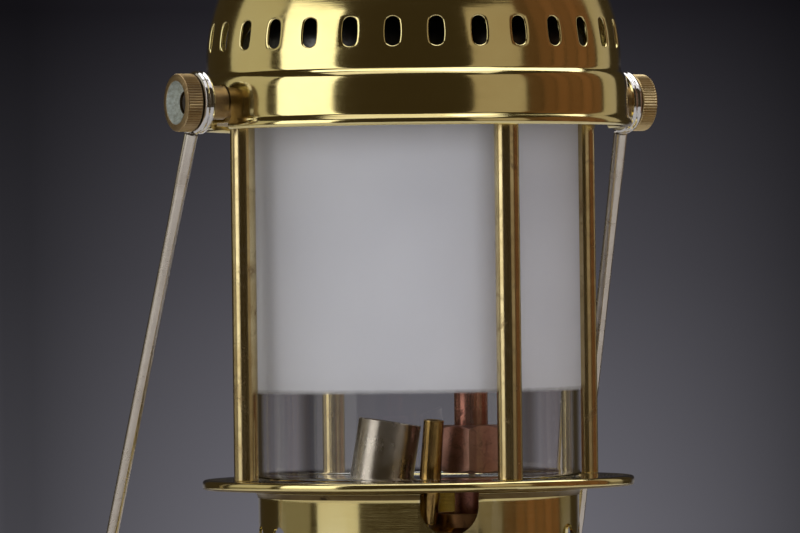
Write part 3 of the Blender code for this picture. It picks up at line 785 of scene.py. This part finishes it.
def make_bail():
    """Bail wire, eyes and knurled nuts."""
    splay = math.radians(BAIL_SPLAY)
    centre = BAIL_PLANE + BAIL_BEND * math.tan(splay) - BAIL_CORNER / math.cos(splay)
    half = [(BAIL_PLANE + l * math.tan(splay), l)
            for l in (9.9, 14, 20, 26, 32, 44, 60, 80, 100, 120)]
    for i in range(13):
        angle = -splay + (math.pi / 2 + splay) * i / 12
        half.append((centre + BAIL_CORNER * math.cos(angle),
                     BAIL_BEND + BAIL_CORNER * math.sin(angle)))
    half += [(24, 175), (15, 175.1), (11, 175.5), (8, 176.4), (5.4, 177.8), (2.8, 178.9)]
    path = half + [(0, 179.2)] + [(-x, y) for x, y in reversed(half)]

    def section(i, angle):
        along = path[i][1]
        flat = max(0.0, min(1.0, (along - 22) / 22)) * max(0.0, min(1.0, (150 - along) / 12))
        round_r = WIRE_R - 0.21 * max(0.0, min(1.0, (along - 22) / 22))
        facet = math.pi / 4
        local = (angle + facet / 2) % facet - facet / 2
        hexed = 1.78 / math.cos(local)
        return round_r * (1 - flat) + min(hexed, 1.89) * flat

    build = tube_along([bail_point(x, y) for x, y in path], WIRE_R, 32, section)
    piece("bail_wire_fine", finish_mesh("bail_wire_fine", build, 50), NICKEL, "bail",
          ["bail_wire"])
    eye = [
        (8.6, 75.3), (9.2, 75), (9.5, 74.4), (9.35, 73.9), (9.1, 73.6), (9.35, 73.3),
        (9.5, 72.8), (9.2, 72.2), (8.6, 71.9), (5.3, 71.9), (4.9, 72.3), (4.9, 74.9),
        (5.3, 75.3)]
    nut = [
        (7.9, 81), (8.5, 80.75), (8.75, 80.4), (8.75, 76.2), (8.5, 75.85), (7.9, 75.6),
        (3.8, 75.6), (3.4, 76), (3.4, 78.1), (4.6, 78.4), (5.7, 79.2), (6.3, 80.2), (6.6, 81)]
    for name, side, look in (("left", -1, DULL_NUT), ("right", 1, TAN_NUT)):
        place = {"origin": (0, 0, PIVOT_Z), "axis": (side, 0, 0)}
        turned("bail_eye_" + name, eye, 72, radius=0.12, cuts=2, **place)
        built = turned("bail_nut_" + name, nut, 256, radius=0.08, cuts=2, look=look,
                       wave=knurl(64, 0.34, 75.9, 80.7, 8.4), smooth=60, **place)
        built.data.materials.append(OXIDE)
        centre = Vector((0, 0, PIVOT_Z)) * MM
        for face in built.data.polygons:
            away = face.center - centre
            reach = math.hypot(away.y, away.z) / MM
            if reach < 6.5 and abs(away.x) / MM > 78:
                face.material_index = 1


# ---------------------------------------------------------------- the burner

def make_burner():
    """Inner casing, mixing gear, nozzle, mantle and generator."""
    casing = [
        (38, 320), (38, 303.5), (39, 301.8), (41, 299.8), (45, 295), (49.5, 288.6),
        (51.6, 285.2), (52.4, 281.5), (52.4, 262.4), (61.4, 261.6), (61.4, 260.7),
        (51.6, 260.7), (51.6, 281.3), (50.8, 284.8), (48.8, 288), (44.3, 294.4),
        (40.4, 298.9), (38.2, 301.2), (37.2, 303.2), (37.2, 320)]
    turned("inner_casing", casing, 144, radius=0.3)
    y = GENERATOR.y
    path = [(0, y, 252.5), (0, y, 258), (0, y, 263)]
    for i in range(25):
        angle = math.pi * i / 24
        path.append((0, y / 2 + y / 2 * math.cos(angle), 268 - y / 2 * math.sin(angle)))
    path += [(0, 0, 264), (0, 0, 260.8)]
    tube = piece("mixing_tube_fine", finish_mesh("mixing_tube_fine", tube_along(path, 6, 40)),
                 BLACKENED_STEEL_AND_PAINTED_SHADE, "lamp_frame", ["mixing_tube"])
    longer = [(0, y, 250)] + path[1:-1] + [(0, 0, 258)]
    carve(tube, tool(tube_along(longer, 5.2, 32)))
    chamber = [
        (7.5, 262), (13.5, 260.8), (15.4, 259), (16, 256), (16, 241), (15, 237.5), (12.8, 232),
        (12, 229.5), (12, 227), (11.2, 227), (11.2, 230), (14.6, 238), (15.2, 241.5),
        (15.2, 255.6), (14.4, 259.2), (6.7, 261.2), (6.7, 262)]
    turned("mixing_chamber", chamber, 72)
    nozzle = [
        (10.8, 231), (10.8, 226), (13, 226), (13, 222.5), (11.5, 222), (11.5, 218.5),
        (12.5, 218), (12.5, 214), (8, 214), (8, 231)]
    turned("ceramic_nozzle", nozzle, 64, radius=0.5)
    bag = [
        (0, 181.4), (5.4, 181.7), (8.6, 182.4), (11.4, 183.6), (14, 185.7), (16, 188.1),
        (17.6, 190.9), (18.6, 194.1), (19, 197.5), (18.9, 201), (18.2, 204.6), (17, 208.2),
        (15.4, 211.9), (14, 215.2), (12.9, 218), (12.5, 220), (12.6, 222), (13.2, 222),
        (13.1, 220), (13.6, 217.9), (14.8, 215), (16.1, 212.2), (17.7, 208.4), (18.8, 204.8),
        (19.5, 201.1), (19.6, 197.4), (19.2, 193.7), (18.2, 190.4), (16.5, 187.5),
        (14.3, 185.1), (11.7, 183.1), (8.8, 181.8), (5.5, 181.1), (0, 180.8)]

    def gathers(angle, r, z):
        pull = max(0.0, min(1.0, (z - 198) / 22)) * 0.35
        fold = max(0.0, min(1.0, (188 - z) / 6)) * 0.3
        return r - (pull + fold) * (0.5 + 0.5 * math.cos(24 * angle)) * min(1.0, r / 6)

    turned("mantle", bag, 144, radius=0.05, wave=gathers, smooth=80)
    spot = {"origin": GENERATOR}
    body = [
        (6.45, 152), (6.45, 149.5), (5, 148.5), (5, 133), (9, 129), (9, 104), (10.5, 103.5),
        (10.5, 101.3), (5.9, 101.3), (5.9, 91), (3, 91), (3, 109), (6.2, 110), (6.2, 126),
        (3.5, 128.5), (3.5, 152)]
    valve = turned("valve_block", body, 64, look=COPPER, **spot)
    carve(valve, rod_tool(3, 34, 46, (0, 0, SPINDLE_Z), FRONT))
    hexagon_nut("generator_nut", 17.15, 153, 167.4, 5.4, COPPER, GENERATOR, UP, 27.5 - 90)
    turned("generator_tube", [(5, 238), (5, 152.9), (3.6, 152.9), (3.6, 238)], 48,
           look=COPPER_TUBE, **spot)
    tip = [
        (2.2, 250), (3.2, 246.5), (3.2, 243.6), (5.6, 243.6), (5.6, 238.3), (1.5, 238.3),
        (1.5, 250)]
    turned("jet", tip, 48, **spot)
    bush = [(13.5, 101), (13.5, 97.9), (9, 97.9), (9, 90), (6.2, 90), (6.2, 101)]
    turned("neck_bush", bush, 64, **spot)
    cup = [
        (13, 141), (13, 136.8), (12.4, 135.6), (11.3, 135), (5.5, 135), (5.5, 139.5),
        (6.1, 139.5), (6.1, 135.7), (11.2, 135.7), (12.2, 136.6), (12.4, 137.4), (12.4, 141)]
    turned("spirit_cup", cup, 72, look=BURNT_BRASS, **spot)
    base = Vector((-16.2, -35.9, 138))
    lean = Vector((-15.3, -39.1, 169.3)) - base
    spout = [(3, 31.4), (3.05, 24), (3.25, 13), (3, 0), (2.3, 0), (2.2, 31.4)]
    turned("spirit_spout", spout, 48, base, lean, radius=0.2, look=SPOUT_BRASS)


def hexagon_nut(node, flats, low, high, bore, look, origin, axis, turn):
    """Hexagonal nut with faces rounded off by a cone, in place of a CAD node."""
    corner = flats / 2 / math.cos(math.pi / 6)
    build = revolve([(0, high), (corner, high), (corner, low), (0, low)], 6)
    bmesh.ops.subdivide_edges(build, edges=build.edges[:], cuts=1)
    nut = piece(node + "_fine", finish_mesh(node + "_fine", build), look, NODE_BODY[node],
                [node], pose(origin, axis, turn))
    cone = [
        (0, high), (flats / 2 - 0.2, high), (corner + 0.05, high - 1.2),
        (corner + 0.05, low + 1.0), (flats / 2 - 0.2, low), (0, low)]
    carve(nut, tool(revolve(cone, 96), pose(origin, axis)), "INTERSECT")
    carve(nut, rod_tool(bore, low - 2, high + 2, origin, axis, 48))
    bevel = nut.modifiers.new("soft edges", "BEVEL")
    bevel.width = 0.22 * MM
    bevel.segments = 2
    bevel.limit_method = "ANGLE"
    bevel.angle_limit = math.radians(25)
    return nut


def make_preheater():
    """Preheater body, nozzle, flame tube and lever."""
    side = Vector((-1, 0, 0))
    arm = (0, PREHEATER.y, 112)
    casting = [
        (4, 126), (4, 124), (7.5, 121), (7.5, 104), (10, 103.4), (10, 98.3), (6.8, 98.3),
        (6.8, 90), (1.6, 90), (1.6, 126)]
    body = turned("preheater_body", casting, 56, origin=PREHEATER)
    carve(body, rod_tool(4.5, 25.5, 52.7, arm, side, 40), "UNION")
    carve(body, rod_tool(2.6, 31, 56, arm, side, 24))
    stem = [
        (2.2, 156), (3, 155.2), (3, 151.2), (6, 151.2), (6, 150), (3, 150), (3, 126.3),
        (1.6, 126.3), (1.6, 156)]
    turned("preheater_nozzle", stem, 40, origin=PREHEATER)
    tilt = math.radians(9.3)
    aim = heading(62.5, math.sin(tilt), math.cos(tilt))
    tube = [(9.35, 8.6), (9.35, -18), (8.6, -18), (8.6, 8.6)]
    turned("flame_tube", tube, 96, PREHEATER + Vector((-0.4, 0.2, 160.2)), aim, radius=0.2,
           look=FLAME_NICKEL)
    lever = bar("preheater_lever", 6, 53.2, 55.2, 48, origin=arm, axis=side)
    carve(lever, obround(6.4, 24, 53.3, 55.1, (0, PREHEATER.y, 120.8), side), "UNION")


# ---------------------------------------------------------------- valve wheel

def make_valve_gear():
    """Wheel, its screw and gland."""
    centre = {"origin": (0, 0, SPINDLE_Z), "axis": FRONT}
    rim = [
        (16.2, 91), (17, 90.2), (17, 85.8), (16.2, 85), (13.8, 85), (13.5, 87), (5.2, 87),
        (5.2, 84.5), (2.7, 84.5), (2.7, 92), (5.2, 92), (5.2, 89), (13.5, 89), (13.8, 91)]

    def grips(angle, r, z):
        return r - 0.75 * (0.5 - 0.5 * math.cos(16 * angle)) if r > 16 else r

    wheel = turned("valve_wheel", rim, 192, radius=0.7, cuts=4, wave=grips, smooth=50, **centre)
    for i in range(5):
        angle = math.radians(72 * i + 90)
        spot = (9.4 * math.cos(angle), 0, SPINDLE_Z + 9.4 * math.sin(angle))
        carve(wheel, rod_tool(3, 80, 96, spot, FRONT), smooth=50)
    head = turned("wheel_screw", [(0, 94.9), (2.4, 94.8), (3.4, 94.4), (4, 93.7), (4, 92.3),
                                  (0, 92.3)], 48, **centre)
    slot = bmesh.new()
    bmesh.ops.create_cube(slot, size=1.0)
    bmesh.ops.scale(slot, vec=(0.010, 0.002, 0.0009), verts=slot.verts)
    bmesh.ops.translate(slot, vec=(0, -0.0949, SPINDLE_Z * MM), verts=slot.verts)
    carve(head, tool(slot))
    hexagon_nut("gland_nut", 12, 43.3, 51.5, 2.9, SATIN_BRASS, (0, 0, SPINDLE_Z), FRONT, 0)


# ---------------------------------------------------------------- tank, pump, filler

def make_tank():
    """Tank shell with fitting holes."""
    outside = [
        (0, 97.6), (30, 97.6), (38, 97.5), (44, 97.2), (48, 96.8), (52, 96.1), (56, 95.1),
        (60, 93.8), (63.6, 92.2), (67, 90.3), (70.1, 88.2), (73, 85.9), (75.6, 83.4),
        (78, 80.6), (80.1, 77.7), (81.8, 74.6), (83.2, 71.4), (84.2, 68.1), (84.8, 65),
        (85, 62), (85, 50), (85, 36), (85, 22), (85, 7.4), (85.3, 5.9), (86, 4.8), (86.4, 3.6),
        (86.5, 2), (86.4, 0.8), (85.8, 0), (81, 0), (80, 2), (0, 2)]
    inside = [
        (0, 96.6), (30, 96.6), (43.9, 96.2), (51.8, 95.1), (59.6, 92.7), (66.5, 89.2),
        (72.4, 84.9), (77.3, 79.8), (81, 74), (83.3, 67.8), (84.1, 62), (84.1, 7), (83, 4),
        (78, 3.1), (0, 3.1)]
    tank = turned("tank_shell", outside, 224, radius=0.2)
    carve(tank, tool(revolve(inside, 96)))
    carve(tank, rod_tool(9.4, 88, 106, GENERATOR, UP))
    carve(tank, rod_tool(7.4, 88, 106, PREHEATER, UP))
    carve(tank, rod_tool(10.3, -12, 12, PUMP_MOUTH, PUMP_OUT, 48))
    carve(tank, rod_tool(12.3, -9, 12, FILLER_FOOT, FILLER_UP, 48))


def make_pump():
    """Pump cap, knob and tube."""
    place = {"origin": PUMP_MOUTH, "axis": PUMP_OUT}
    tube = [(10, 6.6), (10, -110), (3, -110), (3, -108.6), (9.3, -108.6), (9.3, 6.6)]
    turned("pump_tube", tube, 56, **place)
    cap = [(11.8, 10), (13, 9), (13, 3.4), (10.4, 3.4), (10.4, 7.2), (3, 7.2), (3, 10)]
    turned("pump_cap", cap, 216, radius=0.4, wave=knurl(54, 0.3, 4.2, 8.6, 12.7), smooth=60,
           **place)
    knob = [
        (0, 26), (4, 25.85), (7, 25.4), (9.2, 24.3), (10.5, 22.7), (11, 20.8), (10.7, 19),
        (9.6, 17.3), (7.6, 15.9), (6, 14.9), (5.2, 13.6), (5, 11.9), (0, 11.9)]
    turned("pump_knob", knob, 96, **place)


def make_filler():
    """Filler cap with its knurl, dial with ticks, lens and vent screw."""
    place = {"origin": FILLER_FOOT, "axis": FILLER_UP}
    turned("filler_neck", [(12, 8), (12, -4.5), (9.6, -4.5), (9.6, 8)], 56, **place)
    cap = [
        (0, 12), (14, 12), (14, 16.9), (15.2, 17.2), (16.1, 16.6), (16.5, 15.6), (16.5, 5),
        (15.8, 4.4), (12.6, 4.4), (12.6, 10), (0, 10)]
    turned("filler_cap", cap, 240, radius=0.3, wave=knurl(60, 0.35, 5.4, 14.6, 16.3), smooth=60,
           **place)
    bar("gauge_dial", 13.6, 12.3, 12.9, 72, 0.1, **place)
    bar("gauge_lens", 13.6, 15.2, 16.4, 72, 0.3, **place)
    screw = [(0, 21), (2.9, 21), (3.5, 20.4), (3.5, 17.4), (2.9, 16.9), (0, 16.9)]
    turned("vent_screw", screw, 96, FILLER_FOOT + FILLER_UP * 8.5, FILLER_SIDE, radius=0.2,
           wave=knurl(24, 0.25, 17.6, 20.3, 3.3), smooth=60)
    side, up = FILLER_SIDE, FILLER_UP
    ahead = side.cross(up).normalized()
    ticks = bmesh.new()
    red = bmesh.new()
    for i in range(21):
        angle = math.radians(-125 + 12.5 * i)
        out = (side * math.sin(angle + 0.72) * -1 + ahead * math.cos(angle + 0.72) * -1)
        across = out.cross(up)
        middle = FILLER_FOOT + up * 12.97 + out * (10.9 if i % 5 else 10.4)
        long = 1.2 if i % 5 else 2.2
        build = red if i > 15 else ticks
        made = bmesh.ops.create_cube(build, size=1.0)["verts"]
        basis = Matrix((out, across, up)).transposed().to_4x4()
        size = Matrix.Diagonal((long * MM, 0.28 * MM, 0.1 * MM, 1))
        bmesh.ops.transform(build, matrix=Matrix.Translation(middle * MM) @ basis @ size,
                            verts=made)
    for name, build, look in (("gauge_ticks", ticks, BLACK), ("gauge_red_ticks", red, RED)):
        mesh = finish_mesh(name, build)
        piece(name, mesh, look, "filler_cap")


# ---------------------------------------------------------------- light and camera

def panel(name, middle, height, width, tall, distance, radiance, colour=(1, 1, 1)):
    """Soft box seen from the lamp at an angle right of the camera and an elevation."""
    data = bpy.data.lights.new(name, "AREA")
    data.shape = "RECTANGLE"
    data.size = 2 * distance * math.tan(math.radians(width / 2))
    data.size_y = 2 * distance * math.tan(math.radians(tall / 2))
    data.energy = radiance * math.pi * data.size * data.size_y
    data.color = colour
    obj = bpy.data.objects.new(name, data)
    bpy.context.scene.collection.objects.link(obj)
    lift = math.radians(height)
    away = heading(CAMERA_HEADING + middle, math.cos(lift), math.sin(lift))
    obj.location = away * distance + Vector((0, 0, 0.25))
    obj.rotation_euler = away.to_track_quat("Z", "Y").to_euler()
    obj.visible_camera = False
    return obj


def make_studio():
    """World, floor, soft boxes and camera."""
    world = bpy.data.worlds.new("studio")
    bpy.context.scene.world = world
    n = Tree(world)
    direction = n.add("ShaderNodeTexCoord").outputs["Generated"]
    split = n.add("ShaderNodeSeparateXYZ")
    n.link(direction, split.inputs[0])

    def along(axis):
        """How far the view direction points along an axis."""
        node = n.add("ShaderNodeVectorMath", operation="DOT_PRODUCT")
        node.inputs[1].default_value = axis
        n.link(direction, node.inputs[0])
        return node.outputs["Value"]

    # The backdrop: dark above and paler below, brightest behind the lamp, dimmer to its sides.
    backdrop = -heading(CAMERA_HEADING)
    sideways = n.math("POWER", along(backdrop.cross(UP)), 2.0)
    glow = n.math("ADD", n.ramp(sideways, 1.35, 0.50, 0.0, 0.0026),
                  n.ramp(sideways, 0.0, 0.9, 0.0030, 0.0045))
    fade = n.add("ShaderNodeValToRGB")
    n.link(n.ramp(split.outputs["Z"], 0.0, 1.0, -0.036, 0.036), fade.inputs[0])
    fade.color_ramp.elements[0].position = 0.04
    fade.color_ramp.elements[0].color = (0.110, 0.107, 0.123, 1)
    fade.color_ramp.elements[1].color = (0.0125, 0.0115, 0.0145, 1)
    half_way = fade.color_ramp.elements.new(0.52)
    half_way.color = (0.054, 0.052, 0.061, 1)
    shaded = n.add("ShaderNodeVectorMath", operation="SCALE")
    n.link(fade.outputs[0], shaded.inputs[0])
    n.link(glow, shaded.inputs["Scale"])
    away = n.ramp(along(backdrop), 1.0, 0.0, 0.93, 0.965)
    room = n.mix(away, shaded.outputs[0], (0.034, 0.025, 0.013))
    n.link(room, n.tree.nodes["Background"].inputs["Color"])

    floor = bmesh.new()
    bmesh.ops.create_circle(floor, cap_ends=True, segments=96, radius=0.9)
    mesh = bpy.data.meshes.new("floor")
    floor.to_mesh(mesh)
    floor.free()
    mesh.materials.append(plain("floor", (0.62, 0.61, 0.60), (0.58, 0.57, 0.56), (0.6, 0.8), 40,
                                0.05))
    ground = bpy.data.objects.new("floor", mesh)
    bpy.context.scene.collection.objects.link(ground)
    ground.location.z = -0.0002

    for name, low, high, strength in (("upper", -3, 32, 1.0), ("lower", -28, -3, 0.36)):
        lift, tall = (low + high) / 2, high - low
        panel("window_" + name, -60, lift, 34, tall, 1.6, 1.6 * strength, (1.0, 0.985, 0.94))
        panel("side_window_" + name, -102, lift, 36, tall, 1.6, 0.42 * strength,
              (1.0, 0.96, 0.80))
        panel("pale_wall_" + name, 46.5, lift, 30, tall, 1.6, 0.31 * strength,
              (1.0, 0.86, 0.70))
        panel("rear_strip_" + name, 130, lift, 17, tall, 1.6, 0.32 * strength,
              (1.0, 0.90, 0.74))
    for i, strength in enumerate((0.05, 0.09, 0.12, 0.10, 0.13, 0.10)):
        panel("warm_curtain_" + str(i), 67 + 9.6 * i, 6, 8.6, 58, 1.6, strength,
              (1.0, 0.42, 0.22))
    panel("overhead", 150, 70, 62, 64, 1.5, 2.0, (1.0, 0.99, 0.97))
    panel("ceiling", 0, 64, 70, 26, 1.5, 0.95, (1.0, 0.97, 0.96))
    fill = panel("front_fill", 6, 6, 74, 46, 1.7, 1.55, (0.93, 0.95, 1.0))
    fill.visible_glossy = False
    fill.visible_transmission = False

    data = bpy.data.cameras.new("camera")
    data.sensor_width = 36.0
    data.lens = LENS
    data.clip_start = 0.05
    camera = bpy.data.objects.new("camera", data)
    bpy.context.scene.collection.objects.link(camera)
    place = heading(CAMERA_HEADING, CAMERA_DISTANCE, CAMERA_HEIGHT)
    ahead = -heading(CAMERA_HEADING)
    right = ahead.cross(UP).normalized()
    ahead = (ahead - right * math.tan(math.radians(YAW_LEFT))
             + UP * math.tan(math.radians(PITCH_UP))).normalized()
    right = ahead.cross(UP).normalized()
    above = right.cross(ahead)
    basis = Matrix((right, above, -ahead)).transposed().to_4x4()
    camera.matrix_world = Matrix.Translation(place) @ basis @ Matrix.Rotation(
        math.radians(ROLL), 4, "Z")
    bpy.context.scene.camera = camera
    bpy.context.scene.view_settings.view_transform = "Standard"


def main():
    """Build every piece, then light and frame it."""
    for name, obj in frame["nodes"].items():
        obj.data.materials.clear()
        obj.data.materials.append(SLOT_LOOK[NODE_SLOT[name]])
    make_hood()
    make_frame()
    make_bail()
    make_burner()
    make_preheater()
    make_valve_gear()
    make_tank()
    make_pump()
    make_filler()
    make_studio()


main()
